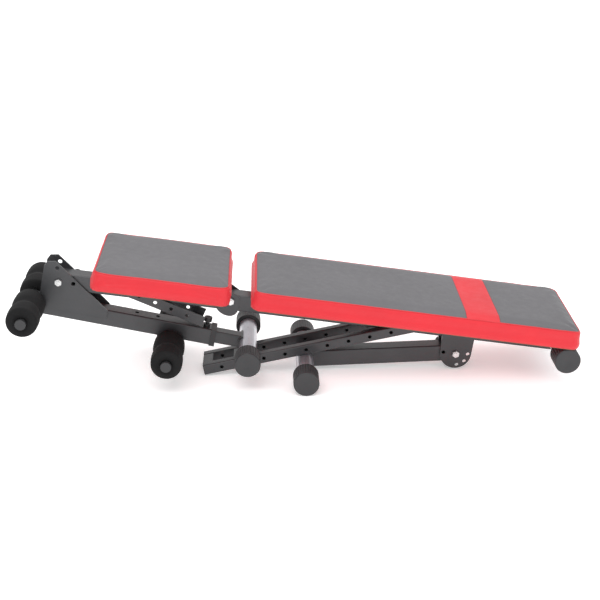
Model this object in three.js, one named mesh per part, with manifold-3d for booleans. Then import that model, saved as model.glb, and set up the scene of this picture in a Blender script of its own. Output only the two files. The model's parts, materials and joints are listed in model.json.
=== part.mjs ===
// Adjustable weight bench, folded flat. Millimetres, +Z up, head end at +X, floor at Z = 0.
import * as THREE from "three";
import { mergeVertices } from "three/addons/utils/BufferGeometryUtils.js";
import Module from "manifold-3d";

const wasm = await Module();
wasm.setup();

const { cos, sin, asin, atan2, hypot, PI } = Math;
const DEGREE = PI / 180;
const ROUND_SIDES = 24;
const BOLT_SIDES = 16;
const HOLE_SIDES = 12;

// ---------------------------------------------------------------- driving dimensions
const fitGap = 0.3; // between pieces that touch or are welded
const runGap = 0.5; // between pieces that turn or slide on each other
const plateThickness = 3;
const tubeWall = 1.5;

// main beam, measured from the front pivot along its own axis
const beamSize = 40;
const beamFrontOverhang = 30;
const beamTilt = 8.35 * DEGREE;
const frontPivotHeight = 236.9;

// pads, measured along the beam from the front pivot
const padWidth = 290;
const padThickness = 48;
const padLift = 16; // from the beam's top to the underside of the pads
const padCorner = 20;
const padEdgeRound = 6;
const boardThickness = 12;
const coverWall = 4;
const seatStart = 80;
const seatLength = 316;
const padGap = 45;
const backLength = 764;

// back hinge and back prop (the ladder)
const hingeDrop = 7; // hinge axis below the pads' underside
const hingeInset = 11; // hinge axis from the lower end of the back pad
const hingeBoltRadius = 4;
const propPivotAlong = 411.5; // from the back hinge
const propPivotDrop = 23; // below the pads' underside
const propHoleFirst = 87;
const propHolePitch = 51;
const propHoleCount = 9;
const propHoleRadius = 4.5;
const propEndMargin = 44;
const railWidth = 20;
const railHeight = 25;
const railGap = 2; // from each rail to the side of the beam
const crossPlateAlong = 440;
const crossPlateLength = 24;

// feet and cross tubes
const footTubeRadius = 21;
const capRadius = 30;
const crossCapRadius = 30.5;
const capLength = 50;
const capEndWall = 6;
const frontFootHalf = 139;
const rearFootHalf = 157;
const crossTubeHalf = 139;
const crossTubeAlong = 1182;
const crossTubeLift = 5;

// rear leg and its bracket on the beam
const legPivotAlong = 947.5;
const legPivotDrop = 58;
const legLength = 361;
const legSize = 40;
const legLockRadius = 29.5;
const legLockAngles = [180, 286, 325, 364];
const legPlateRadius = 37.5;
const legPlateThickness = 4;

// front post
const postSize = 40;
const postPivotDrop = 68.7; // post centreline below the front pivot
const postTop = 50; // upper end of the outer tube, before the front pivot
const postFoot = 459.6; // front foot axis, beyond the front pivot
const postSleeveAt = 367.6; // lower end of the outer tube
const postHoles = [189, 239];
const postHoleRadius = 5;
const postLockRadius = 34;
const postFoldAngle = 99 * DEGREE;
const postPlateThickness = 4;
const innerSize = 30;
const innerHolePitch = 50;
const innerInsert = 170; // length of the inner tube held inside the outer tube
const sleeveLength = 13;
const sleeveFlange = 2.5;
const pullPinAlong = 356;
const pinBarrel = 6;
const pullPinTravel = 6;
const axleRadius = 11;
const upperAxleAlong = -55.6;
const upperAxleLift = 7;
const lowerAxleAlong = 277.6;

// foam rollers
const rollerRadius = 37;
const rollerWaistDepth = 5;
const rollerWaistWidth = 0.12; // as a share of the roller's length
const rollerRound = 8;
const rollerSideGap = 1.5; // from the post's plates to the rollers
const rollerOuter = 160;

// seat hinge, seat pull pin and seat prop
const seatHingeAlong = 399;
const seatHingeLift = 5;
const seatLockRadius = 30;
const seatInclineStep = 20 * DEGREE;
const seatPropAlong = 130;
const seatPropLift = 7;
const seatPropLength = 221;
const seatPropRest = 5.885; // clear height from its lower end to the top of the post
const seatPropHeight = 25;
const seatPropHolePitch = 40;
const seatPropHoleFirst = 59.5;
const seatPropHoleCount = 4;

// bolts, pins and knobs
const boltRadius = 5;
const boltHeadRadius = 8.5;
const boltHeadHeight = 6;
const pinRadius = 4;
const knobRadius = 10;
const knobLength = 16;
const pinTravel = 12; // of the leg and front lock pins, from free to locked
const backPinStore = 1040; // where the back lock pin is kept in the beam

// ---------------------------------------------------------------- places worked out from them
const padBottom = beamSize / 2 + padLift;
const backStart = seatStart + seatLength + padGap;
const backHinge = { x: backStart + hingeInset, z: padBottom - hingeDrop };
const propPivot = { x: backHinge.x + propPivotAlong, z: padBottom - propPivotDrop };
const propHoleLast = propHoleFirst + propHolePitch * (propHoleCount - 1);
const propLength = propHoleLast + propEndMargin;
const legPivot = { x: legPivotAlong, z: -legPivotDrop };
const seatHinge = { x: seatHingeAlong, z: seatHingeLift };
const seatProp = { x: seatPropAlong, z: seatPropLift };
const railInside = beamSize + 2 * railGap;
const rollerInner = beamSize / 2 + runGap + postPlateThickness + rollerSideGap;

// A point of a frame tilted down towards +X, in the frame that holds it.
function outOf(tilt, origin, point) {
  return {
    x: origin.x + point.x * cos(tilt) + point.z * sin(tilt),
    z: origin.z - point.x * sin(tilt) + point.z * cos(tilt),
  };
}

const frontPivotWorld = { x: 0, z: frontPivotHeight };
const legPivotWorld = outOf(beamTilt, frontPivotWorld, legPivot);
const propPivotWorld = outOf(beamTilt, frontPivotWorld, propPivot);

// The rear foot stands on the floor; the leg rises from it towards +X.
const legTilt = -asin((legPivotWorld.z - capRadius) / legLength);
const rearFootWorld = outOf(legTilt, legPivotWorld, { x: -legLength, z: 0 });

// The back prop lies on the rear foot tube, and the front foot tube lies on the back prop.
const tubeToProp = footTubeRadius + railHeight / 2 + fitGap;
const toRearFoot = {
  x: propPivotWorld.x - rearFootWorld.x,
  z: propPivotWorld.z - rearFootWorld.z,
};
const propTilt =
  asin(tubeToProp / hypot(toRearFoot.x, toRearFoot.z)) - atan2(toRearFoot.z, toRearFoot.x);
const pivotAboveProp =
  (frontPivotWorld.x - propPivotWorld.x) * sin(propTilt) +
  (frontPivotWorld.z - propPivotWorld.z) * cos(propTilt);
const footReach = hypot(postFoot, postPivotDrop);
const postTilt =
  propTilt + asin((pivotAboveProp - tubeToProp) / footReach) - atan2(postPivotDrop, postFoot);

// The seat prop hangs under the seat, and its lower end rests over the top of the post.
const seatPropWorld = outOf(beamTilt, frontPivotWorld, seatProp);
const propAbovePost =
  (seatPropWorld.x - frontPivotWorld.x) * sin(postTilt) +
  (seatPropWorld.z - frontPivotWorld.z) * cos(postTilt) +
  (postPivotDrop - postSize / 2 - seatPropRest);
const seatPropTilt =
  postTilt +
  asin(propAbovePost / hypot(seatPropLength, seatPropHeight / 2)) -
  atan2(seatPropHeight / 2, seatPropLength);

// ---------------------------------------------------------------- shape helpers
const ALONG_X = new THREE.Matrix4().makeBasis(
  new THREE.Vector3(0, 1, 0),
  new THREE.Vector3(0, 0, 1),
  new THREE.Vector3(1, 0, 0),
);
const ALONG_MINUS_Y = new THREE.Matrix4().makeBasis(
  new THREE.Vector3(1, 0, 0),
  new THREE.Vector3(0, 0, 1),
  new THREE.Vector3(0, -1, 0),
);

function solid(geometry) {
  const bare = geometry.index ? geometry.toNonIndexed() : geometry.clone();
  bare.deleteAttribute("normal");
  bare.deleteAttribute("uv");
  const merged = mergeVertices(bare, 1e-4);
  const made = new wasm.Mesh({
    numProp: 3,
    vertProperties: new Float32Array(merged.attributes.position.array),
    triVerts: new Uint32Array(merged.index.array),
  });
  return new wasm.Manifold(made);
}

function geometryOf(manifold) {
  const made = manifold.getMesh();
  const geometry = new THREE.BufferGeometry();
  geometry.setAttribute("position", new THREE.BufferAttribute(made.vertProperties, 3));
  geometry.setIndex(new THREE.BufferAttribute(made.triVerts, 1));
  return geometry;
}

function cut(geometry, ...tools) {
  const left = tools.reduce((whole, tool) => whole.subtract(solid(tool)), solid(geometry));
  return geometryOf(left);
}

function join(geometry, ...others) {
  const whole = others.reduce((sum, other) => sum.add(solid(other)), solid(geometry));
  return geometryOf(whole);
}

function box(x0, x1, y0, y1, z0, z1) {
  const geometry = new THREE.BoxGeometry(x1 - x0, y1 - y0, z1 - z0);
  return geometry.translate((x0 + x1) / 2, (y0 + y1) / 2, (z0 + z1) / 2);
}

// A round bar across the bench, from y0 to y1.
function barY(radius, x, z, y0, y1, sides = ROUND_SIDES) {
  const geometry = new THREE.CylinderGeometry(radius, radius, y1 - y0, sides);
  return geometry.translate(x, (y0 + y1) / 2, z);
}

// A round bar standing along Z, from z0 to z1.
function barZ(radius, x, y, z0, z1, sides = BOLT_SIDES) {
  const geometry = new THREE.CylinderGeometry(radius, radius, z1 - z0, sides);
  return geometry.rotateX(PI / 2).translate(x, y, (z0 + z1) / 2);
}

function roundedRectangle(halfWidth, halfHeight, radius) {
  const shape = new THREE.Shape();
  shape.moveTo(halfWidth - radius, -halfHeight);
  shape.absarc(halfWidth - radius, -halfHeight + radius, radius, -PI / 2, 0);
  shape.absarc(halfWidth - radius, halfHeight - radius, radius, 0, PI / 2);
  shape.absarc(-halfWidth + radius, halfHeight - radius, radius, PI / 2, PI);
  shape.absarc(-halfWidth + radius, -halfHeight + radius, radius, PI, 1.5 * PI);
  return shape;
}

// A rectangular tube along X, open at both ends.
function tubeX(x0, x1, width, height, wall, z = 0, y = 0) {
  const cornerRadius = 2 * wall;
  const shape = roundedRectangle(width / 2, height / 2, cornerRadius);
  shape.holes.push(roundedRectangle(width / 2 - wall, height / 2 - wall, cornerRadius - wall));
  const geometry = new THREE.ExtrudeGeometry(shape, {
    depth: x1 - x0,
    bevelEnabled: false,
    curveSegments: 2,
  });
  return geometry.applyMatrix4(ALONG_X).translate(x0, y, z);
}

// A round tube across the bench, open at both ends.
function tubeY(radius, wall, x, z, halfLength) {
  const profile = [
    [radius - wall, -halfLength],
    [radius, -halfLength],
    [radius, halfLength],
    [radius - wall, halfLength],
    [radius - wall, -halfLength],
  ].map(([r, y]) => new THREE.Vector2(r, y));
  return new THREE.LatheGeometry(profile, ROUND_SIDES).translate(x, 0, z);
}

// A flat plate standing in the XZ plane, from y0 to y1.
function plateY(shape, y0, y1) {
  const geometry = new THREE.ExtrudeGeometry(shape, {
    depth: y1 - y0,
    bevelEnabled: false,
    curveSegments: 8,
  });
  return geometry.applyMatrix4(ALONG_MINUS_Y).translate(0, y1, 0);
}

function holesY(radius, places) {
  const reach = padWidth;
  return places.map(({ x, z }) => barY(radius, x, z, -reach, reach, HOLE_SIDES));
}

function around(centre, radius, angleDegrees) {
  return {
    x: centre.x + radius * cos(angleDegrees * DEGREE),
    z: centre.z + radius * sin(angleDegrees * DEGREE),
  };
}

const FINISH = {
  frame: { color: 0x3a3b3e, roughness: 0.45, metalness: 0.3 },
  silver: { color: 0xa9aaae, roughness: 0.35, metalness: 0.9 },
  zinc: { color: 0xc4c5c8, roughness: 0.35, metalness: 0.9 },
  plastic: { color: 0x3c3c3f, roughness: 0.6, metalness: 0 },
  foam: { color: 0x1c1c1e, roughness: 0.9, metalness: 0 },
  board: { color: 0x8a6a45, roughness: 0.7, metalness: 0 },
  cover: { color: 0xd8343f, roughness: 0.55, metalness: 0 },
};

function piece(name, finish, geometry) {
  const mesh = new THREE.Mesh(geometry, new THREE.MeshStandardMaterial(FINISH[finish]));
  mesh.name = name;
  return mesh;
}

// Near and far copies of a piece, one each side of the middle plane.
const SIDES = [
  ["near", -1],
  ["far", 1],
];
function bothSides(name, finish, make) {
  return SIDES.map(([side, sign]) => piece(`${name}_${side}`, finish, make(sign)));
}

// The span from y0 to y1 beside the middle plane, on the side that sign names.
function span(sign, y0, y1) {
  return sign > 0 ? [y0, y1] : [-y1, -y0];
}

// A bolt across the bench, with its head on the far side and its nut on the near side.
function bolt(radius, x, z, grip) {
  const shank = barY(radius, x, z, -grip - boltHeadHeight - 2, grip + 1, BOLT_SIDES);
  const head = barY(boltHeadRadius, x, z, grip, grip + boltHeadHeight, 6);
  const nut = barY(boltHeadRadius, x, z, -grip - boltHeadHeight, -grip, 6);
  return join(shank, head, nut);
}

// A locking pin; tip and collar are the two ends of its shank, counted outwards from the middle.
function lockPin(sign, { x, z }, tip, collar) {
  const shank = barY(pinRadius, 0, 0, tip, collar + 10, BOLT_SIDES);
  const profile = [
    [0, 0],
    [knobRadius * 0.8, 0],
    [knobRadius, 3],
    [knobRadius, knobLength - 4],
    [knobRadius * 0.7, knobLength],
    [0, knobLength],
  ].map(([r, y]) => new THREE.Vector2(r, y));
  const knob = new THREE.LatheGeometry(profile, BOLT_SIDES).translate(0, collar, 0);
  const pin = join(shank, knob);
  if (sign < 0) pin.rotateX(PI);
  return pin.translate(x, 0, z);
}

// A lock pin drawn back until its tip is only just inside the outer plate.
function parkedPin(sign, place, plateFace) {
  return lockPin(sign, place, plateFace - 2, plateFace + pinTravel);
}

// A ribbed end cap is a cup over the tube's end; here it is the plain cup.
function cap(sign, x, z, halfLength, radius) {
  const edge = 3;
  const inside = footTubeRadius + fitGap;
  const profile = [
    [0, halfLength],
    [radius - edge, halfLength],
    [radius, halfLength - edge],
    [radius, halfLength - capLength],
    [inside, halfLength - capLength],
    [inside, halfLength - capEndWall],
    [0, halfLength - capEndWall],
  ].map(([r, y]) => new THREE.Vector2(r, y));
  const geometry = new THREE.LatheGeometry(profile.reverse(), ROUND_SIDES);
  if (sign < 0) geometry.rotateX(PI);
  return geometry.translate(x, 0, z);
}

// A foot or cross tube with a cap on each end.
function cappedTube(tubeName, capName, { x, z }, halfLength, radius = capRadius) {
  const reach = halfLength - capEndWall - fitGap;
  return [
    piece(tubeName, "silver", tubeY(footTubeRadius, tubeWall, x, z, reach)),
    ...bothSides(capName, "plastic", (sign) => cap(sign, x, z, halfLength, radius)),
  ];
}

function frameGroup(tilt, origin, meshes) {
  const group = new THREE.Group();
  group.position.set(origin.x, 0, origin.z);
  group.rotation.y = tilt;
  group.add(...meshes);
  return group;
}

// ---------------------------------------------------------------- main beam
const crossTube = { x: crossTubeAlong, z: crossTubeLift };
const beamHalf = beamSize / 2;
const seatPinPlace = { x: seatHinge.x - seatLockRadius, z: seatHinge.z };
const postLock = { x: postLockRadius, z: 0 };
const legLock = around(legPivot, legLockRadius, 180);

function mainBeam() {
  const tube = tubeX(-beamFrontOverhang, crossTube.x, beamSize, beamSize, tubeWall);
  const lockPlaces = [postLock, seatPinPlace, { x: backPinStore, z: 0 }];
  return cut(
    tube,
    barY(footTubeRadius + fitGap, crossTube.x, crossTube.z, -beamSize, beamSize),
    ...holesY(boltRadius + runGap, [{ x: 0, z: 0 }, seatHinge]),
    ...holesY(pinRadius + runGap, lockPlaces),
  );
}

function beamPlug() {
  const inside = beamHalf - tubeWall - runGap;
  const lip = 3;
  const end = -beamFrontOverhang;
  const body = box(end, end + 15, -inside, inside, -inside, inside);
  const flange = box(end - lip, end - fitGap, -beamHalf, beamHalf, -beamHalf, beamHalf);
  const neck = box(end - lip, end + 1, -inside, inside, -inside, inside);
  return join(body, flange, neck);
}

function legPlate(sign) {
  const shape = new THREE.Shape();
  const { x, z } = legPivot;
  const top = beamHalf - 5;
  shape.moveTo(x + legPlateRadius, top);
  shape.lineTo(x - legPlateRadius - 5, top);
  shape.lineTo(x - legPlateRadius, z);
  shape.absarc(x, z, legPlateRadius, PI, 2 * PI);
  const inner = beamHalf + fitGap;
  const lockHoles = legLockAngles.map((angle) => around(legPivot, legLockRadius, angle));
  return cut(
    plateY(shape, ...span(sign, inner, inner + legPlateThickness)),
    ...holesY(boltRadius + fitGap, [legPivot]),
    ...holesY(pinRadius + runGap, lockHoles),
  );
}

// Two lugs standing on the beam, joined by their foot plate, hold the back hinge bolt.
function hingeBracket() {
  const lugRadius = hingeDrop - 0.5;
  const base = beamHalf + fitGap;
  const { x, z } = backHinge;
  const shape = new THREE.Shape();
  shape.moveTo(x - lugRadius, base);
  shape.lineTo(x + 26, base);
  shape.lineTo(x + lugRadius, z);
  shape.absarc(x, z, lugRadius, 0, PI);
  const inner = beamHalf - 8;
  const lugs = SIDES.map(([, sign]) => plateY(shape, ...span(sign, inner, inner + 4)));
  const foot = box(x - lugRadius, x + 26, -inner - 2, inner + 2, base, base + 3);
  return cut(join(foot, ...lugs), ...holesY(hingeBoltRadius + runGap, [backHinge]));
}

function hingeBolt() {
  const grip = beamHalf + 1 + 2 * plateThickness;
  const { x, z } = backHinge;
  const shank = barY(hingeBoltRadius, x, z, -grip - 4, grip + 4, BOLT_SIDES);
  const heads = [-1, 1].map((sign) => barY(hingeDrop - 1, x, z, ...span(sign, grip, grip + 4), 6));
  return join(shank, ...heads);
}

const seatPlateOutside = beamHalf + runGap + plateThickness;

function backLockPin() {
  return lockPin(1, { x: backPinStore, z: 0 }, -beamHalf - 1, beamHalf + fitGap);
}

const legGrip = beamHalf + fitGap + legPlateThickness + fitGap;
const postGrip = beamHalf + runGap + postPlateThickness + fitGap;
const seatGrip = seatPlateOutside + fitGap;
const beamMeshes = [
  piece("main_beam", "frame", mainBeam()),
  piece("beam_plug", "plastic", beamPlug()),
  ...cappedTube("cross_tube", "cross_cap", crossTube, crossTubeHalf, crossCapRadius),
  ...bothSides("leg_plate", "frame", legPlate),
  piece("hinge_bracket", "frame", hingeBracket()),
  piece("back_hinge_bolt", "zinc", hingeBolt()),
  piece("back_lock_pin", "plastic", backLockPin()),
  piece("leg_lock_pin", "plastic", parkedPin(1, legLock, legGrip)),
  piece("leg_pivot_bolt", "zinc", bolt(boltRadius, legPivot.x, legPivot.z, legGrip)),
  piece("post_pivot_bolt", "zinc", bolt(boltRadius, 0, 0, postGrip)),
  piece("seat_hinge_bolt", "zinc", bolt(boltRadius, seatHinge.x, seatHinge.z, seatGrip)),
];

// ---------------------------------------------------------------- pads
// A closed block with rounded top edges and a pocket underneath for its board.
function cushion(x0, x1) {
  const halfLength = (x1 - x0) / 2;
  const shape = roundedRectangle(halfLength - padEdgeRound, padWidth / 2 - padEdgeRound, padCorner);
  const spare = 10;
  const block = new THREE.ExtrudeGeometry(shape, {
    depth: padThickness + spare - 2 * padEdgeRound,
    bevelSize: padEdgeRound,
    bevelThickness: padEdgeRound,
    bevelSegments: 2,
    curveSegments: 6,
  });
  block.translate((x0 + x1) / 2, 0, padBottom - spare + padEdgeRound);
  const reach = padWidth;
  const below = box(x0 - 1, x1 + 1, -reach, reach, padBottom - 2 * spare, padBottom);
  const pocketTop = padBottom + boardThickness + fitGap;
  const pocket = boardBlock(x0, x1, coverWall, padBottom - 1, pocketTop);
  return cut(block, below, pocket);
}

function boardBlock(x0, x1, inset, z0, z1) {
  const corner = padCorner + padEdgeRound - inset;
  const shape = roundedRectangle((x1 - x0) / 2 - inset, padWidth / 2 - inset, corner);
  const geometry = new THREE.ExtrudeGeometry(shape, {
    depth: z1 - z0,
    bevelEnabled: false,
    curveSegments: 4,
  });
  return geometry.translate((x0 + x1) / 2, 0, z0);
}

function board(x0, x1) {
  return boardBlock(x0, x1, coverWall + fitGap, padBottom, padBottom + boardThickness);
}

const strapTop = padBottom - fitGap;
const seatEnd = seatStart + seatLength;

// One long strap under the board, with a lobe for the prop bolt and a lobe for the hinge bolt.
function seatPlate(sign) {
  const lobe = 12;
  const hingeLobe = seatLockRadius + 8;
  const strapHeight = 12;
  const shape = new THREE.Shape();
  shape.moveTo(seatProp.x - lobe, strapTop);
  shape.lineTo(seatProp.x - lobe, seatProp.z);
  shape.absarc(seatProp.x, seatProp.z, lobe, PI, 2 * PI);
  shape.lineTo(seatProp.x + lobe, strapTop - strapHeight);
  shape.lineTo(seatHinge.x - hingeLobe, strapTop - strapHeight);
  shape.lineTo(seatHinge.x - hingeLobe, seatHinge.z);
  shape.absarc(seatHinge.x, seatHinge.z, hingeLobe, PI, 1.5 * PI);
  shape.absarc(seatHinge.x, seatHinge.z - hingeLobe + 20, 20, 1.5 * PI, 2 * PI);
  shape.lineTo(seatHinge.x + 20, seatHinge.z + 12);
  shape.lineTo(seatEnd - 8, strapTop);
  const inner = beamHalf + runGap;
  const lockHoles = [0, 1].map((step) => {
    const turn = 180 + (step * seatInclineStep) / DEGREE;
    return around(seatHinge, seatLockRadius, turn);
  });
  return cut(
    plateY(shape, ...span(sign, inner, inner + plateThickness)),
    ...holesY(boltRadius + runGap, [seatHinge]),
    ...holesY(hingeBoltRadius + fitGap, [seatProp]),
    ...holesY(pinRadius + runGap, lockHoles),
  );
}

// Each prop bar hangs on its own short bolt, so that nothing crosses the beam.
function stubBolt(sign, x, z, inner, outer) {
  const radius = hingeBoltRadius;
  const shank = barY(radius, x, z, ...span(sign, inner, outer + 1), BOLT_SIDES);
  const head = barY(7, x, z, ...span(sign, outer, outer + 5), 6);
  return join(shank, head);
}

const seatPropInside = seatPlateOutside + runGap;
const seatPropOutside = seatPropInside + plateThickness;
const seatMeshes = [
  piece("seat_board", "board", board(seatStart, seatEnd)),
  piece("seat_cushion", "cover", cushion(seatStart, seatEnd)),
  ...bothSides("seat_plate", "frame", seatPlate),
  piece("seat_pull_pin", "plastic", parkedPin(-1, seatPinPlace, seatGrip)),
  ...bothSides("seat_prop_bolt", "zinc", (sign) => {
    const inner = beamHalf + runGap;
    return stubBolt(sign, seatProp.x, seatProp.z, inner, seatPropOutside + fitGap);
  }),
];

// Two drilled flat bars joined by a cross plate at their lower end, in the prop's own frame.
function seatPropFrame() {
  const half = seatPropHeight / 2;
  const shape = new THREE.Shape();
  shape.moveTo(0, -half);
  shape.lineTo(seatPropLength, -half);
  shape.lineTo(seatPropLength, half);
  shape.lineTo(0, half);
  shape.absarc(0, 0, half, PI / 2, 1.5 * PI);
  const bars = SIDES.map(([, sign]) => plateY(shape, ...span(sign, seatPropInside, seatPropOutside)));
  const web = box(
    seatPropLength - 26,
    seatPropLength,
    -seatPropInside - 1,
    seatPropInside + 1,
    -half,
    -half + plateThickness,
  );
  const places = Array.from({ length: seatPropHoleCount }, (_, step) => ({
    x: seatPropHoleFirst + step * seatPropHolePitch,
    z: 0,
  }));
  return cut(
    join(web, ...bars),
    ...holesY(hingeBoltRadius + runGap, [{ x: 0, z: 0 }]),
    ...holesY(pinRadius + runGap, places),
  );
}

const backEnd = backStart + backLength;
const railInner = railInside / 2;
const railOuter = railInner + railWidth;

function backStrap(sign) {
  const { x, z } = backHinge;
  const radius = hingeDrop - fitGap;
  const shape = new THREE.Shape();
  shape.moveTo(x, strapTop);
  shape.absarc(x, z, radius, PI / 2, 1.5 * PI);
  shape.lineTo(x + 120, z - 4);
  shape.lineTo(x + 150, strapTop);
  const inner = beamHalf + 1;
  return cut(
    plateY(shape, ...span(sign, inner, inner + plateThickness)),
    ...holesY(hingeBoltRadius + runGap, [backHinge]),
  );
}

function propBracket(sign) {
  const { x, z } = propPivot;
  const radius = 11;
  const shape = new THREE.Shape();
  shape.moveTo(x - 32, strapTop);
  shape.lineTo(x - radius, z);
  shape.absarc(x, z, radius, PI, 2 * PI);
  shape.lineTo(x + 32, strapTop);
  const inner = railOuter + runGap;
  return cut(
    plateY(shape, ...span(sign, inner, inner + plateThickness)),
    ...holesY(hingeBoltRadius + runGap, [propPivot]),
  );
}

const backMeshes = [
  piece("back_board", "board", board(backStart, backEnd)),
  piece("back_cushion", "cover", cushion(backStart, backEnd)),
  ...bothSides("back_strap", "frame", backStrap),
  ...bothSides("prop_bracket", "frame", propBracket),
  ...bothSides("prop_bolt", "zinc", (sign) => {
    const outer = railOuter + runGap + plateThickness + fitGap;
    return stubBolt(sign, propPivot.x, propPivot.z, beamHalf + 1, outer);
  }),
];

// ---------------------------------------------------------------- back prop, running to -X
function propRail(sign) {
  const middle = sign * (railInner + railWidth / 2);
  const rail = tubeX(-propLength, railHeight / 2 + 1, railWidth, railHeight, tubeWall, 0, middle);
  const places = Array.from({ length: propHoleCount }, (_, step) => ({
    x: -propHoleFirst - step * propHolePitch,
    z: 0,
  }));
  return cut(
    rail,
    ...holesY(hingeBoltRadius + runGap, [{ x: 0, z: 0 }]),
    ...holesY(propHoleRadius, places),
  );
}

function propPlate(from, length) {
  const half = railInner - fitGap;
  const top = railHeight / 2;
  return box(-from - length, -from, -half, half, top - plateThickness - 1, top - 1);
}

const propMeshes = [
  ...bothSides("prop_rail", "frame", propRail),
  piece("prop_end_plate", "frame", propPlate(propLength - crossPlateLength, crossPlateLength)),
  piece("prop_cross_plate", "frame", propPlate(crossPlateAlong, crossPlateLength)),
];

// ---------------------------------------------------------------- rear leg, running to -X
function legTube() {
  const outerEnd = legSize / 2 + 2;
  const lockHole = around({ x: 0, z: 0 }, legLockRadius, 180 + (legTilt - beamTilt) / DEGREE);
  return cut(
    tubeX(-legLength, outerEnd, legSize - 1, legSize, tubeWall),
    barY(footTubeRadius + fitGap, -legLength, 0, -legSize, legSize),
    ...holesY(boltRadius + runGap, [{ x: 0, z: 0 }]),
    ...holesY(pinRadius + runGap, [lockHole]),
  );
}

const legMeshes = [
  piece("leg_tube", "frame", legTube()),
  ...cappedTube("rear_foot_tube", "rear_cap", { x: -legLength, z: 0 }, rearFootHalf),
];

// ---------------------------------------------------------------- front post
const postZ = -postPivotDrop;
const upperAxle = { x: upperAxleAlong, z: postZ + upperAxleLift };
const lowerAxle = { x: lowerAxleAlong, z: postZ - postSize / 2 - axleRadius };
const postTopFace = postZ + postSize / 2;

function postTube() {
  const through = [...postHoles, pullPinAlong].map((x) =>
    barZ(postHoleRadius, x, 0, postZ, postTopFace + pinBarrel + 1),
  );
  const barrel = barZ(8, pullPinAlong, 0, postTopFace - 1, postTopFace + pinBarrel);
  return cut(
    join(tubeX(-postTop, postSleeveAt, postSize, postSize, tubeWall, postZ), barrel),
    barY(axleRadius + fitGap, upperAxle.x, upperAxle.z, -postSize, postSize),
    barY(axleRadius + fitGap, lowerAxle.x, lowerAxle.z, -postSize, postSize),
    ...through,
  );
}

const foldedAngle = (postTilt - beamTilt) / DEGREE;
const postLockFolded = around({ x: 0, z: 0 }, postLockRadius, foldedAngle);
const postLockInUse = around({ x: 0, z: 0 }, postLockRadius, foldedAngle + postFoldAngle / DEGREE);

function postPlate(sign) {
  const shape = new THREE.Shape();
  shape.moveTo(-38, postZ + 2);
  shape.lineTo(122, postZ + 2);
  shape.lineTo(122, postTopFace);
  shape.lineTo(12, 31);
  shape.lineTo(-14, 49);
  shape.lineTo(-32, 45);
  shape.lineTo(-38, 33);
  const inner = beamHalf + runGap;
  return cut(
    plateY(shape, ...span(sign, inner, inner + postPlateThickness)),
    ...holesY(boltRadius + fitGap, [{ x: 0, z: 0 }]),
    ...holesY(postHoleRadius, [postLockFolded, postLockInUse]),
  );
}

// The plastic sleeve plugs the outer tube's mouth and guides the inner tube.
function postSleeve() {
  const outer = postSize + sleeveFlange;
  const insert = postSize - 2 * tubeWall - 4 * fitGap;
  const bore = innerSize + 2 * runGap;
  const start = postSleeveAt + fitGap;
  const flange = box(start, start + sleeveLength, -outer / 2, outer / 2, postZ - outer / 2, postZ + outer / 2);
  const neck = box(start - 20, start + 1, -insert / 2, insert / 2, postZ - insert / 2, postZ + insert / 2);
  const hollow = box(
    start - 30,
    start + sleeveLength + 1,
    -bore / 2,
    bore / 2,
    postZ - bore / 2,
    postZ + bore / 2,
  );
  const pinHole = barZ(pinRadius + fitGap, pullPinAlong, 0, postZ, postTopFace + 5);
  return cut(join(flange, neck), hollow, pinHole);
}

// The pull pin is parked with its tip inside the sleeve's wall, clear of the inner tube.
function postPullPin() {
  const knobFace = postTopFace + pinBarrel + runGap + pullPinTravel;
  const tip = postZ + innerSize / 2 + runGap + 0.7;
  return join(
    barZ(pinRadius, pullPinAlong, 0, tip, knobFace + 3),
    barZ(knobRadius - 0.5, pullPinAlong, 0, knobFace, knobFace + knobLength - 6),
  );
}

function axlePlug(sign, axle) {
  const tubeEnd = rollerOuter - 6;
  const bore = axleRadius - tubeWall - fitGap;
  const headSpan = span(sign, tubeEnd + fitGap, tubeEnd + 8);
  const stem = barY(bore, axle.x, axle.z, ...span(sign, tubeEnd - 12, tubeEnd + 2), BOLT_SIDES);
  const head = barY(axleRadius + 1.5, axle.x, axle.z, ...headSpan, BOLT_SIDES);
  return join(stem, head);
}

function axleMeshes(name, axle) {
  const tubeEnd = rollerOuter - 6;
  return [
    piece(`${name}_axle`, "frame", tubeY(axleRadius, tubeWall, axle.x, axle.z, tubeEnd)),
    ...bothSides(`${name}_axle_plug`, "plastic", (sign) => axlePlug(sign, axle)),
  ];
}

const postMeshes = [
  piece("post_tube", "frame", postTube()),
  ...bothSides("post_plate", "frame", postPlate),
  piece("post_sleeve", "plastic", postSleeve()),
  piece("post_pull_pin", "plastic", postPullPin()),
  piece("front_lock_pin", "plastic", parkedPin(1, postLockFolded, postGrip)),
  ...axleMeshes("upper", upperAxle),
  ...axleMeshes("lower", lowerAxle),
];

// A foam roller: two full drums with a soft waist between them, bored for its axle.
function roller(sign, axle) {
  const bore = axleRadius + runGap;
  const end = rollerOuter - 8;
  const length = end - rollerInner;
  const profile = [new THREE.Vector2(bore, rollerInner)];
  const steps = 16;
  for (let step = 0; step <= steps; step += 1) {
    const along = step / steps;
    const waist = Math.exp(-(((along - 0.5) / rollerWaistWidth) ** 2));
    const fromEnd = Math.min(along, 1 - along) * length;
    const lack = Math.max(0, rollerRound - fromEnd);
    const round = rollerRound - Math.sqrt(rollerRound ** 2 - lack ** 2);
    const radius = rollerRadius - waist * rollerWaistDepth - round;
    profile.push(new THREE.Vector2(radius, rollerInner + along * length));
  }
  profile.push(new THREE.Vector2(bore, end), new THREE.Vector2(bore, rollerInner));
  const geometry = new THREE.LatheGeometry(profile, ROUND_SIDES);
  if (sign < 0) geometry.rotateX(PI);
  return geometry.translate(axle.x, 0, axle.z);
}

const rollerMeshes = [
  ...bothSides("upper_roller", "foam", (sign) => roller(sign, upperAxle)),
  ...bothSides("lower_roller", "foam", (sign) => roller(sign, lowerAxle)),
];

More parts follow.
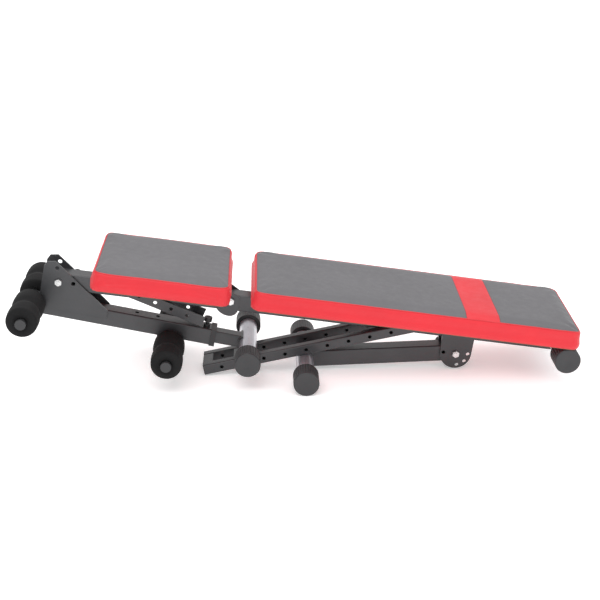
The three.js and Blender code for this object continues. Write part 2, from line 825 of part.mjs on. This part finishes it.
// ---------------------------------------------------------------- inner tube and front foot
const frontFoot = { x: postFoot, z: postZ };

function innerTube() {
  const pinHoles = [0, 1, 2].map((step) =>
    barZ(postHoleRadius, pullPinAlong - step * innerHolePitch, 0, postZ, postTopFace),
  );
  return cut(
    tubeX(postSleeveAt - innerInsert, frontFoot.x, innerSize, innerSize, tubeWall, postZ),
    barY(footTubeRadius + plateThickness + 2 * fitGap, frontFoot.x, frontFoot.z, -postSize, postSize),
    ...pinHoles,
  );
}

// A curved saddle between the inner tube's end and the foot tube.
function footSaddle() {
  const shape = new THREE.Shape();
  const inner = footTubeRadius + fitGap;
  const half = 45 * DEGREE;
  shape.absarc(frontFoot.x, frontFoot.z, inner + plateThickness, PI - half, PI + half);
  shape.absarc(frontFoot.x, frontFoot.z, inner, PI + half, PI - half, true);
  return plateY(shape, -postSize / 2, postSize / 2);
}

const innerMeshes = [
  piece("inner_tube", "frame", innerTube()),
  piece("foot_saddle", "frame", footSaddle()),
  ...cappedTube("front_foot_tube", "front_cap", frontFoot, frontFootHalf),
];

// ---------------------------------------------------------------- assembly
const bench = new THREE.Group();
bench.add(
  frameGroup(beamTilt, frontPivotWorld, [...beamMeshes, ...seatMeshes, ...backMeshes]),
  frameGroup(seatPropTilt, seatPropWorld, [
    piece("seat_prop", "frame", seatPropFrame()),
  ]),
  frameGroup(propTilt, propPivotWorld, propMeshes),
  frameGroup(legTilt, legPivotWorld, legMeshes),
  frameGroup(postTilt, frontPivotWorld, [...postMeshes, ...rollerMeshes, ...innerMeshes]),
);

// The origin is the middle of the bench's box, on the floor.
bench.updateMatrixWorld(true);
const extent = new THREE.Box3().setFromObject(bench, true);
const middle = extent.getCenter(new THREE.Vector3());
bench.position.set(-middle.x, -middle.y, -extent.min.z);
const assembly = new THREE.Group();
assembly.add(bench);

export default assembly;
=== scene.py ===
"""The looks of the folded weight bench: covers, foam rollers, ribbed caps, tubes and studio."""

import json
import math

import bmesh
import bpy
from mathutils import Matrix, Vector, noise
from mathutils.kdtree import KDTree


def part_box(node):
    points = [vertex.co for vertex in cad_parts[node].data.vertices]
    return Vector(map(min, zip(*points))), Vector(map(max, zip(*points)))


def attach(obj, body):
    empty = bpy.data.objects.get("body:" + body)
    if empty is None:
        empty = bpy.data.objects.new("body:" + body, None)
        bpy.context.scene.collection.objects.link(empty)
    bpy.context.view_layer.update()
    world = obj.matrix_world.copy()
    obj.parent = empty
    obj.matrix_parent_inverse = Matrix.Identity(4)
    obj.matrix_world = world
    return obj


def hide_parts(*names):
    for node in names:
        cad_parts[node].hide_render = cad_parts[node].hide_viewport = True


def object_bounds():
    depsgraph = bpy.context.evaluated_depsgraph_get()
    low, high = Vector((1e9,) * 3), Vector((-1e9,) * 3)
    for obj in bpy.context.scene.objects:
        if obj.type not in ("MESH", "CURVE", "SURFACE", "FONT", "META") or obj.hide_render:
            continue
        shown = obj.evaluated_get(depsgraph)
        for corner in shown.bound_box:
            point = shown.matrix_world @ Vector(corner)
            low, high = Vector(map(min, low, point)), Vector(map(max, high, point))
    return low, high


MM = 0.001

# The beam, the pads on it and their covers
BEAM_TILT = 0.14573  # radians, down towards +X
PAD_CORNER = 25 * MM
PAD_EDGE = 9 * MM
PAD_INSET = 0.8 * MM
SEAM_INSET = 4.5 * MM
SEAM_WIDTH = 4 * MM
PIPING_RADIUS = 1.3 * MM
STRIPE_START = 489 * MM
STRIPE_WIDTH = 78 * MM
PAD_VOXEL = 5 * MM
PAD_SWELL = 4 * MM  # the furthest that filling may move the cover
PAD_PRESSURE = 4.0
BASE_INSET = 1 * MM
BASE_HELD = 0.3  # share of the height that the board holds
TOP_SHARE = 0.6  # the top panel lies above this share of the height
SEAM_DEPTH = 0.9 * MM
SEAM_WANDER = 0.35 * MM
CORD_LIFT = 0.3 * MM
CORD_STEP = 5 * MM
CORNER_STEPS = 6
SIM_FRAMES = 20

# Foot caps, rollers and knobs
CAP_RIBS = 30
CAP_RIB_DEPTH = 1.4 * MM
CAP_FACE_ROUND = 3.5 * MM
CAP_FACE_DIP = 0.6 * MM
CAP_BORE = 21.6 * MM
ROLLER_RINGS = 72
ROLLER_SIDES = 96
ROLLER_ROUND = 8 * MM
ROLLER_WAIST_DEPTH = 5 * MM
ROLLER_WAIST_WIDTH = 0.1  # as a share of the roller's length
ROLLER_CROWN = 1 * MM
FOAM_UNEVENNESS = 0.5 * MM
BORE_RADIUS = 11.6 * MM

# Camera: where it stands, what it looks at
CAMERA_PLACE = Vector((-75.0, -2660.5, 1263.0)) * MM
CAMERA_TARGET = Vector((8.6, 0.0, 175.1)) * MM
CAMERA_LENS = 73.2

# Colours, linear
COVER_GREY = (0.104, 0.101, 0.108, 1)
COVER_RED = (0.60, 0.014, 0.024, 1)
FRAME_GREY = (0.036, 0.037, 0.040, 1)
TUBE_SILVER = (0.46, 0.46, 0.50, 1)
ZINC = (0.66, 0.66, 0.66, 1)
PLASTIC_GREY = (0.022, 0.022, 0.024, 1)
KNOB_BLACK = (0.018, 0.018, 0.020, 1)
FOAM_BLACK = (0.0045, 0.0045, 0.005, 1)
BOARD_BROWN = (0.16, 0.095, 0.05, 1)
FLOOR_WHITE = (0.93, 0.93, 0.93, 1)

SIDES = ("near", "far")

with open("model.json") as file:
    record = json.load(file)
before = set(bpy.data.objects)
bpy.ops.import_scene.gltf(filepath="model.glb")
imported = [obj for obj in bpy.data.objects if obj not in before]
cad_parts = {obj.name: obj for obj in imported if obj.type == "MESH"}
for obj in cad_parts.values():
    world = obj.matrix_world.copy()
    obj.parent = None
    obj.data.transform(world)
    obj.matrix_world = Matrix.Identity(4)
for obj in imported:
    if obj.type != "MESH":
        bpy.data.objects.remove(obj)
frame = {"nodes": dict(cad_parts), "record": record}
cad_low, cad_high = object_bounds()


# ---------------------------------------------------------------- materials
class Nodes:
    """A new node material with its Principled shader and short ways to add and link nodes."""

    def __init__(self, name):
        self.material = bpy.data.materials.new(name)
        self.material.use_nodes = True
        self.tree = self.material.node_tree
        self.shader = self.tree.nodes["Principled BSDF"]

    def add(self, kind, **values):
        node = self.tree.nodes.new(kind)
        for key, value in values.items():
            if hasattr(node, key):
                setattr(node, key, value)
            else:
                node.inputs[key.replace("_", " ")].default_value = value
        return node

    def link(self, source, target):
        self.tree.links.new(source, target)

    def set(self, **values):
        for key, value in values.items():
            self.shader.inputs[key.replace("_", " ")].default_value = value

    def coordinates(self):
        return self.add("ShaderNodeTexCoord").outputs["Object"]

    def noise(self, scale, detail=4.0, roughness=0.55):
        node = self.add("ShaderNodeTexNoise", Scale=scale, Detail=detail, Roughness=roughness)
        self.link(self.coordinates(), node.inputs["Vector"])
        return node.outputs["Fac"]

    def cells(self, scale):
        node = self.add("ShaderNodeTexVoronoi", Scale=scale)
        node.feature = "DISTANCE_TO_EDGE"
        self.link(self.coordinates(), node.inputs["Vector"])
        return node.outputs["Distance"]

    def spread(self, value, low, high, start=0.3, end=0.7):
        node = self.add("ShaderNodeMapRange")
        limits = {"From Min": start, "From Max": end, "To Min": low, "To Max": high}
        for key, number in limits.items():
            node.inputs[key].default_value = number
        self.link(value, node.inputs["Value"])
        return node.outputs["Result"]

    def shade(self, colour, value, low, high, start=0.3, end=0.7):
        """The colour times a factor that runs from low to high as value runs from start to end."""
        node = self.add("ShaderNodeMix", data_type="RGBA", blend_type="MULTIPLY")
        node.inputs["Factor"].default_value = 1
        if isinstance(colour, tuple):
            node.inputs[6].default_value = colour
        else:
            self.link(colour, node.inputs[6])
        self.link(self.spread(value, low, high, start, end), node.inputs[7])
        return node.outputs[2]

    def attribute(self, name):
        return self.add("ShaderNodeAttribute", attribute_name=name).outputs["Fac"]

    def seam(self, colour, distance):
        """The colour with painted shade: dark in a thin line where the distance to the seam is
        nothing, standing in for the shade in the sewn groove and under the piping cord.
        """
        size = self.add("ShaderNodeMath", operation="ABSOLUTE")
        self.link(distance, size.inputs[0])
        return self.shade(colour, size.outputs[0], 0.3, 1.0, 0.2 * MM, 0.9 * MM)

    def choose(self, factor, colour_off, colour_on):
        node = self.add("ShaderNodeMix", data_type="RGBA")
        self.link(factor, node.inputs["Factor"])
        for socket, colour in ((node.inputs[6], colour_off), (node.inputs[7], colour_on)):
            if isinstance(colour, tuple):
                socket.default_value = colour
            else:
                self.link(colour, socket)
        return node.outputs[2]

    def bump(self, value, strength, distance, under=None):
        node = self.add("ShaderNodeBump", Strength=strength, Distance=distance)
        self.link(value, node.inputs["Height"])
        if under is not None:
            self.link(under, node.inputs["Normal"])
        return node.outputs["Normal"]

    def finish(self, colour, roughness, normal):
        self.link(colour, self.shader.inputs["Base Color"])
        self.link(roughness, self.shader.inputs["Roughness"])
        self.link(normal, self.shader.inputs["Normal"])
        return self.material


def coated_metal(name, colour, metallic, rough_low, rough_high, peel_depth):
    """Powder-coated steel: fine orange peel, faint handling marks and a thin clear coat."""
    nodes = Nodes(name)
    nodes.set(Metallic=metallic, Coat_Weight=0.25, Coat_Roughness=0.3)
    clouds = nodes.noise(14, 6)
    scuffs = nodes.noise(160, 8, 0.7)
    peel = nodes.bump(nodes.noise(900, 2), peel_depth, 0.0004)
    worn = nodes.bump(scuffs, peel_depth / 4, 0.0006, peel)
    tone = nodes.shade(nodes.shade(colour, clouds, 0.86, 1.12), scuffs, 0.93, 1.06)
    return nodes.finish(tone, nodes.spread(scuffs, rough_low, rough_high), worn)


def plated_metal(name):
    """Zinc-plated fasteners: fine cloudy plating."""
    nodes = Nodes(name)
    nodes.set(Metallic=1.0)
    clouds = nodes.noise(220, 5)
    tone = nodes.shade(ZINC, clouds, 0.8, 1.1)
    return nodes.finish(tone, nodes.spread(clouds, 0.22, 0.42), nodes.bump(clouds, 0.1, 0.0003))


def moulded_plastic(name, colour):
    """Injection-moulded plastic with a fine spark-eroded texture."""
    nodes = Nodes(name)
    clouds = nodes.noise(30, 5)
    grain = nodes.noise(1400, 3)
    tone = nodes.shade(colour, clouds, 0.88, 1.12)
    normal = nodes.bump(grain, 0.25, 0.0003)
    return nodes.finish(tone, nodes.spread(clouds, 0.42, 0.58), normal)


def cell_foam(name):
    """Closed-cell foam: a skin of fine open cells over soft unevenness."""
    nodes = Nodes(name)
    nodes.set(Specular_IOR_Level=0.35)
    cells = nodes.cells(420)
    lumps = nodes.noise(35, 4)
    tone = nodes.shade(nodes.shade(FOAM_BLACK, lumps, 0.8, 1.25), cells, 0.7, 1.2)
    normal = nodes.bump(cells, 0.5, 0.0006, nodes.bump(lumps, 0.25, 0.002))
    return nodes.finish(tone, nodes.spread(lumps, 0.82, 0.95), normal)


def plywood(name):
    """Plywood board with long grain along the pad."""
    nodes = Nodes(name)
    grain = nodes.add("ShaderNodeTexWave", Scale=60, Distortion=6, Detail=4)
    grain.bands_direction = "Y"
    nodes.link(nodes.coordinates(), grain.inputs["Vector"])
    streaks = grain.outputs["Fac"]
    tone = nodes.shade(BOARD_BROWN, streaks, 0.75, 1.15)
    return nodes.finish(tone, nodes.spread(streaks, 0.6, 0.75), nodes.bump(streaks, 0.1, 0.0004))


def vinyl_cover(name, stripe):
    """Leather-grained vinyl: grey top panel, red side band, a red stripe across the top, and
    painted shade as thin dark lines along the seams.
    """
    nodes = Nodes(name)
    nodes.set(Sheen_Weight=0.05, Sheen_Roughness=0.5, Specular_IOR_Level=0.4)
    grain = nodes.cells(520)
    creases = nodes.noise(55, 8, 0.65)
    clouds = nodes.noise(6, 3)
    panel = nodes.attribute("panel")
    on_top = nodes.spread(panel, 0, 1, -0.0002, 0.0002)
    grey = nodes.shade(nodes.shade(COVER_GREY, clouds, 0.93, 1.07), grain, 0.94, 1.03)
    red = nodes.shade(nodes.shade(COVER_RED, clouds, 0.93, 1.07), grain, 0.95, 1.03)
    tone = nodes.choose(on_top, red, grey)
    if stripe:
        across = nodes.attribute("stripe")
        tone = nodes.choose(nodes.spread(across, 0, 1, -0.0002, 0.0002), tone, red)
        # painted shade: a thin dark line along both stripe edges, standing in for the shade in the
        # sewn grooves there
        tone = nodes.seam(tone, across)
    # painted shade: a thin dark line along the top seam, standing in for the shade under the piping
    # cord and in its groove
    tone = nodes.seam(tone, panel)
    normal = nodes.bump(grain, 0.22, 0.0005, nodes.bump(creases, 0.12, 0.0016))
    return nodes.finish(tone, nodes.spread(creases, 0.44, 0.6), normal)


def seam_cord(name, colour):
    """Piping cord covered in the same vinyl, with its own tight grain."""
    nodes = Nodes(name)
    grain = nodes.cells(900)
    return nodes.finish(
        nodes.shade(colour, grain, 0.85, 1.05),
        nodes.spread(grain, 0.45, 0.6),
        nodes.bump(grain, 0.3, 0.0003),
    )


FRAME_COAT = coated_metal("frame coat", FRAME_GREY, 0.25, 0.30, 0.46, 0.18)
SILVER_COAT = coated_metal("silver coat", TUBE_SILVER, 0.7, 0.27, 0.30, 0.015)
ZINC_PLATE = plated_metal("zinc plate")
CAP_PLASTIC = moulded_plastic("cap plastic", PLASTIC_GREY)
KNOB_PLASTIC = moulded_plastic("knob plastic", KNOB_BLACK)
FOAM = cell_foam("foam")
BOARD = plywood("plywood")
SLOT_FINISH = {
    "frame": FRAME_COAT,
    "silver": SILVER_COAT,
    "zinc": ZINC_PLATE,
    "plastic": CAP_PLASTIC,
    "foam": FOAM,
    "board": BOARD,
    "cover": BOARD,
}


def coat_frame_nodes():
    for part in frame["record"]["subparts"]:
        node = frame["nodes"][part["node"]]
        node.data.materials.clear()
        is_knob = part["node"].endswith("_pin")
        node.data.materials.append(KNOB_PLASTIC if is_knob else SLOT_FINISH[part["material_slot"]])


# ---------------------------------------------------------------- mesh helpers
def new_object(name, mesh, material):
    obj = bpy.data.objects.new(name, mesh)
    bpy.context.scene.collection.objects.link(obj)
    mesh.materials.append(material)
    for face in mesh.polygons:
        face.use_smooth = True
    return obj


def add_piece(name, mesh, material, body, replaces=()):
    obj = new_object(name, mesh, material)
    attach(obj, body)
    if replaces:
        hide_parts(*replaces)
    return obj


def evaluated_mesh(obj):
    depsgraph = bpy.context.evaluated_depsgraph_get()
    return bpy.data.meshes.new_from_object(obj.evaluated_get(depsgraph))


def body_of(node):
    for body, nodes in frame["record"]["behaviour"]["bodies"].items():
        if node in nodes:
            return body
    raise KeyError(node)


def ring_surface(name, rings, caps=False):
    """A mesh through closed rings of points; each ring has the same number of points."""
    mesh = bpy.data.meshes.new(name)
    points = [point for ring in rings for point in ring]
    count = len(rings[0])
    faces = []
    for row in range(len(rings) - 1):
        for column in range(count):
            after = (column + 1) % count
            low, high = row * count, (row + 1) * count
            faces.append((low + column, low + after, high + after, high + column))
    if caps:
        faces.append(tuple(reversed(range(count))))
        faces.append(tuple(range((len(rings) - 1) * count, len(rings) * count)))
    mesh.from_pydata(points, [], faces)
    work = bmesh.new()
    work.from_mesh(mesh)
    bmesh.ops.recalc_face_normals(work, faces=work.faces)
    work.to_mesh(mesh)
    work.free()
    return mesh


def tube_along(name, path, radius, sides=10):
    """A closed loop of round cord through the points of path."""
    count = len(path)
    rings = []
    for index, point in enumerate(path):
        ahead = path[(index + 1) % count] - path[index - 1]
        side = ahead.cross(Vector((0, 0, 1))).normalized()
        up = side.cross(ahead.normalized())
        ring = []
        for step in range(sides):
            angle = 2 * math.pi * step / sides
            ring.append(point + radius * (math.cos(angle) * side + math.sin(angle) * up))
        rings.append(ring)
    rings.append(rings[0])
    return ring_surface(name, rings)


# ---------------------------------------------------------------- pads
TO_PAD = Matrix.Rotation(-BEAM_TILT, 4, "Y")
FROM_PAD = Matrix.Rotation(BEAM_TILT, 4, "Y")


def tilted_box(node):
    """Lowest and highest corners of a node in the beam's tilted frame."""
    points = [TO_PAD @ vertex.co for vertex in frame["nodes"][node].data.vertices]
    low = Vector([min(point[axis] for point in points) for axis in range(3)])
    high = Vector([max(point[axis] for point in points) for axis in range(3)])
    return low, high


def inside_depth(x, y, half_x, half_y, corner):
    """How far a plan point lies inside a rounded rectangle; negative outside."""
    over_x = abs(x) - (half_x - corner)
    over_y = abs(y) - (half_y - corner)
    if over_x > 0 and over_y > 0:
        return corner - math.hypot(over_x, over_y)
    return corner - max(over_x, over_y)


def outline(half_x, half_y, corner, steps):
    """Points round a rounded rectangle, evenly along its straights and corners."""
    points = []
    for quarter, (sign_x, sign_y) in enumerate(((1, 1), (-1, 1), (-1, -1), (1, -1))):
        for step in range(steps + 1):
            angle = math.pi / 2 * (quarter + step / steps)
            x = sign_x * (half_x - corner) + corner * math.cos(angle)
            y = sign_y * (half_y - corner) + corner * math.sin(angle)
            points.append(Vector((x, y, 0)))
    return points


def resampled(points, spacing):
    """The closed line through points, cut into equal short steps."""
    result = []
    for index, point in enumerate(points):
        after = points[(index + 1) % len(points)]
        length = (after - point).length
        count = max(1, round(length / spacing))
        result += [point.lerp(after, step / count) for step in range(count)]
    return result


def pad_block(name, half_x, half_y, height):
    """The pad before it is filled: a slab with round corners, a soft top edge and a flat base."""
    rings = []
    arc = 5
    for step in range(arc + 1):
        angle = math.pi / 2 * step / arc
        inset = PAD_EDGE * (1 - math.cos(angle))
        level = height - PAD_EDGE + PAD_EDGE * math.sin(angle)
        corner = PAD_CORNER - inset
        line = outline(half_x - inset, half_y - inset, corner, CORNER_STEPS)
        rings.append([point + Vector((0, 0, level)) for point in line])
    base_x, base_y = half_x - BASE_INSET, half_y - BASE_INSET
    base = outline(base_x, base_y, PAD_CORNER - BASE_INSET, CORNER_STEPS)
    edge = outline(half_x, half_y, PAD_CORNER, CORNER_STEPS)
    rings.insert(0, [point + Vector((0, 0, BASE_INSET)) for point in edge])
    rings.insert(0, [point.copy() for point in base])
    return ring_surface(name, rings, caps=True)


def remeshed(obj, voxel):
    modifier = obj.modifiers.new("Remesh", "REMESH")
    modifier.mode = "VOXEL"
    modifier.voxel_size = voxel
    mesh = evaluated_mesh(obj)
    obj.modifiers.remove(modifier)
    obj.data = mesh


def fill_pad(obj, height):
    """Swells the cover with cloth pressure; its base stays flat on the board."""
    rest = [vertex.co.copy() for vertex in obj.data.vertices]
    held = obj.vertex_groups.new(name="base")
    base = [index for index, point in enumerate(rest) if point.z < BASE_HELD * height]
    held.add(base, 1.0, "REPLACE")
    modifier = obj.modifiers.new("Fill", "CLOTH")
    modifier.settings.use_pressure = True
    modifier.settings.uniform_pressure_force = PAD_PRESSURE
    modifier.settings.effector_weights.gravity = 0
    modifier.settings.vertex_group_mass = "base"
    scene = bpy.context.scene
    for number in range(1, SIM_FRAMES + 1):
        scene.frame_set(number)
    depsgraph = bpy.context.evaluated_depsgraph_get()
    filled = obj.evaluated_get(depsgraph).to_mesh()
    swollen = [vertex.co.copy() for vertex in filled.vertices]
    obj.modifiers.remove(modifier)
    scene.frame_set(1)
    for vertex, start, end in zip(obj.data.vertices, rest, swollen):
        move = end - start
        if move.length > PAD_SWELL:
            move *= PAD_SWELL / move.length
        vertex.co = start + move


def mark_panels(mesh, half_x, half_y, height, stripe):
    """Stores how far each point lies inside the top panel and inside the stripe, in metres."""
    panel = mesh.attributes.new("panel", "FLOAT", "POINT")
    band = mesh.attributes.new("stripe", "FLOAT", "POINT")
    for index, vertex in enumerate(mesh.vertices):
        depth = inside_depth(vertex.co.x, vertex.co.y, half_x, half_y, PAD_CORNER)
        above = vertex.co.z - TOP_SHARE * height
        panel.data[index].value = min(depth - SEAM_INSET, above)
        band.data[index].value = -1
        if stripe:
            middle = (stripe[0] + stripe[1]) / 2
            across = (stripe[1] - stripe[0]) / 2 - abs(vertex.co.x - middle)
            band.data[index].value = min(across, panel.data[index].value)


def sew_seams(mesh, height):
    """Draws the cover in along the top seam and along both edges of the stripe."""
    panel = mesh.attributes["panel"].data
    band = mesh.attributes["stripe"].data
    for index, vertex in enumerate(mesh.vertices):
        if vertex.co.z < TOP_SHARE * height:
            continue
        gap = min(abs(panel[index].value), abs(band[index].value))
        pull = math.exp(-((gap / SEAM_WIDTH) ** 2))
        wander = noise.noise(vertex.co * 60)
        vertex.co.z -= pull * (SEAM_DEPTH + SEAM_WANDER * wander)


def seam_crossings(mesh):
    """Where the edge of the top panel crosses the edges of the mesh."""
    panel = mesh.attributes["panel"].data
    points = []
    for edge in mesh.edges:
        first, second = edge.vertices
        inner, outer = panel[first].value, panel[second].value
        if (inner < 0) != (outer < 0):
            share = inner / (inner - outer)
            points.append(mesh.vertices[first].co.lerp(mesh.vertices[second].co, share))
    tree = KDTree(len(points))
    for index, point in enumerate(points):
        tree.insert(point, index)
    tree.balance()
    return tree


def piping(name, pad_mesh, half_x, half_y, height):
    """The cord sewn into the top seam, lying on the filled cover."""
    crossings = seam_crossings(pad_mesh)
    corner = PAD_CORNER - SEAM_INSET
    line = outline(half_x - SEAM_INSET, half_y - SEAM_INSET, corner, 8)
    path = []
    for point in resampled(line, CORD_STEP):
        near = crossings.find_n(point + Vector((0, 0, height)), 8)
        middle = sum((found[0] for found in near), Vector()) / len(near)
        path.append(middle + Vector((0, 0, CORD_LIFT)))
    return tube_along(name, path, PIPING_RADIUS)


def make_pad(name, cushion, stripe_from=None):
    low, high = tilted_box(cushion)
    middle = (low + high) / 2
    height = high.z - low.z - PAD_SWELL * 0.4
    half_x = (high.x - low.x) / 2 - PAD_INSET
    half_y = (high.y - low.y) / 2 - PAD_INSET
    stripe = None
    if stripe_from is not None:
        start = low.x + stripe_from - middle.x
        stripe = (start, start + STRIPE_WIDTH)
    body = body_of(cushion)
    obj = bpy.data.objects.new(name, pad_block(name, half_x, half_y, height))
    bpy.context.scene.collection.objects.link(obj)
    remeshed(obj, PAD_VOXEL)
    mark_panels(obj.data, half_x, half_y, height, stripe)
    fill_pad(obj, height)
    smooth = obj.modifiers.new("Smooth", "SUBSURF")
    smooth.levels = 1
    mesh = evaluated_mesh(obj)
    bpy.data.objects.remove(obj)
    sew_seams(mesh, height)
    cord_mesh = piping(name + "_piping", mesh, half_x, half_y, height)
    place = FROM_PAD @ Matrix.Translation((middle.x, middle.y, low.z))
    mesh.transform(place)
    cord_mesh.transform(place)
    mesh.materials.clear()
    vinyl = vinyl_cover(name + " vinyl", bool(stripe))
    pad = add_piece(name, mesh, vinyl, body, [cushion])
    cord_vinyl = seam_cord(name + " piping", COVER_RED)
    add_piece(name + "_piping", cord_mesh, cord_vinyl, body)


# ---------------------------------------------------------------- round moulded pieces
def turned(name, profile, sides, centre, ripple=None):
    """A surface turned about the Y axis; profile is (radius, y) pairs."""
    rings = []
    for radius, y in profile:
        ring = []
        for step in range(sides):
            angle = 2 * math.pi * step / sides
            reach = radius if ripple is None else ripple(radius, y, angle)
            ring.append((centre.x + reach * math.cos(angle), y, centre.z + reach * math.sin(angle)))
        rings.append(ring)
    return ring_surface(name, rings, caps=True)


def ribbed_cap(node):
    """A foot cap: smooth slightly domed face, and grip ribs round its side."""
    low, high = map(Vector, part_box(node))
    centre = (low + high) / 2
    outwards = math.copysign(1, centre.y)
    radius = (high.z - low.z) / 2
    face = high.y if outwards > 0 else low.y
    length = high.y - low.y
    round_edge = CAP_FACE_ROUND
    profile = [
        (0.6 * MM, face - outwards * CAP_FACE_DIP),
        (radius * 0.30, face - outwards * CAP_FACE_DIP / 2),
        (radius * 0.32, face),
        (radius - round_edge - 2 * MM, face),
    ]
    for step in range(7):
        angle = math.pi / 2 * step / 6
        reach = radius - round_edge + round_edge * math.sin(angle)
        profile.append((reach, face - outwards * round_edge * (1 - math.cos(angle))))
    inside = [6, 9, 10, 12, 20, 30, length / MM - 5, length / MM - 3, length / MM - 1]
    profile += [(radius, face - outwards * depth * MM) for depth in inside]
    back = face - outwards * length
    profile += [(radius - 1 * MM, back), (CAP_BORE, back)]

    def ribs(reach, y, angle):
        depth = abs(face - y)
        if depth < 9 * MM or depth > length - 2 * MM or reach < radius - 0.1 * MM:
            return reach
        wave = 0.5 - 0.5 * math.cos(CAP_RIBS * angle)
        return reach - CAP_RIB_DEPTH * wave**3

    name = node + "_ribbed"
    mesh = turned(name, profile, CAP_RIBS * 8, centre, ribs)
    return add_piece(name, mesh, CAP_PLASTIC, body_of(node), [node])


def foam_roller(node):
    """A foam sleeve: two crowned drums, a soft waist between them, round ends and a cut bore."""
    low, high = map(Vector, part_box(node))
    centre = (low + high) / 2
    radius = (high.z - low.z) / 2
    length = high.y - low.y
    profile = [(BORE_RADIUS, low.y + 4 * MM), (BORE_RADIUS + 1 * MM, low.y + 0.5 * MM)]
    for step in range(ROLLER_RINGS + 1):
        along = step / ROLLER_RINGS
        waist = math.exp(-(((along - 0.5) / ROLLER_WAIST_WIDTH) ** 2))
        crown = math.cos(4 * math.pi * (along - 0.25)) / 2 + 0.5
        lack = max(0.0, ROLLER_ROUND - min(along, 1 - along) * length)
        round_off = ROLLER_ROUND - math.sqrt(ROLLER_ROUND**2 - lack**2)
        reach = radius - ROLLER_CROWN * (1 - crown) - ROLLER_WAIST_DEPTH * waist - round_off
        profile.append((reach, low.y + along * length))
    profile += [(BORE_RADIUS + 1 * MM, high.y - 0.5 * MM), (BORE_RADIUS, high.y - 4 * MM)]

    def skin(reach, y, angle):
        if reach < BORE_RADIUS + 2 * MM:
            return reach
        spot = Vector((math.cos(angle) * reach, y, math.sin(angle) * reach))
        return reach - (0.5 + 0.5 * noise.noise(spot * 45)) * FOAM_UNEVENNESS

    name = node + "_foam"
    mesh = turned(name, profile, ROLLER_SIDES, centre, skin)
    return add_piece(name, mesh, FOAM, body_of(node), [node])


coat_frame_nodes()
make_pad("seat_pad", "seat_cushion")
make_pad("back_pad", "back_cushion", STRIPE_START)
for end in SIDES:
    for cap_name in ("front_cap", "rear_cap", "cross_cap"):
        ribbed_cap(f"{cap_name}_{end}")
    for level in ("upper", "lower"):
        foam_roller(f"{level}_roller_{end}")


# ---------------------------------------------------------------- studio
def add_floor():
    mesh = bpy.data.meshes.new("floor")
    size = 30.0
    corners = [(-size, -size, 0), (size, -size, 0), (size, size, 0), (-size, size, 0)]
    mesh.from_pydata(corners, [], [(0, 1, 2, 3)])
    nodes = Nodes("floor paint")
    nodes.set(Base_Color=FLOOR_WHITE, Roughness=0.9)
    nodes.set(Emission_Color=(1, 1, 1, 1), Emission_Strength=0.32)
    floor = new_object("floor", mesh, nodes.material)
    floor.location.z = cad_low[2] - 0.2 * MM


def add_light(name, place, target, size, power):
    light = bpy.data.lights.new(name, "AREA")
    light.shape = "RECTANGLE"
    light.size, light.size_y = size
    light.energy = power
    obj = bpy.data.objects.new(name, light)
    bpy.context.scene.collection.objects.link(obj)
    obj.location = place
    obj.rotation_euler = (Vector(target) - Vector(place)).to_track_quat("-Z", "Y").to_euler()


def add_studio():
    scene = bpy.context.scene
    scene.view_settings.view_transform = "Standard"
    world = bpy.data.worlds.new("studio")
    world.use_nodes = True
    backdrop = world.node_tree.nodes["Background"]
    backdrop.inputs["Color"].default_value = (1, 1, 1, 1)
    backdrop.inputs["Strength"].default_value = 0.9
    scene.world = world
    middle = (0, 0, 0.15)
    add_light("key", (-0.6, -1.6, 2.4), middle, (2.4, 1.2), 34)
    add_light("top", (0.3, 0.6, 2.6), middle, (3.0, 1.6), 30)
    add_light("fill", (1.9, -1.5, 0.9), middle, (1.2, 1.2), 9)


def add_camera():
    camera = bpy.data.objects.new("camera", bpy.data.cameras.new("camera"))
    camera.data.lens = CAMERA_LENS
    camera.data.sensor_width = 36
    camera.location = CAMERA_PLACE
    aim = CAMERA_TARGET - CAMERA_PLACE
    camera.rotation_euler = aim.to_track_quat("-Z", "Y").to_euler()
    bpy.context.scene.collection.objects.link(camera)
    bpy.context.scene.camera = camera


add_floor()
add_studio()
add_camera()
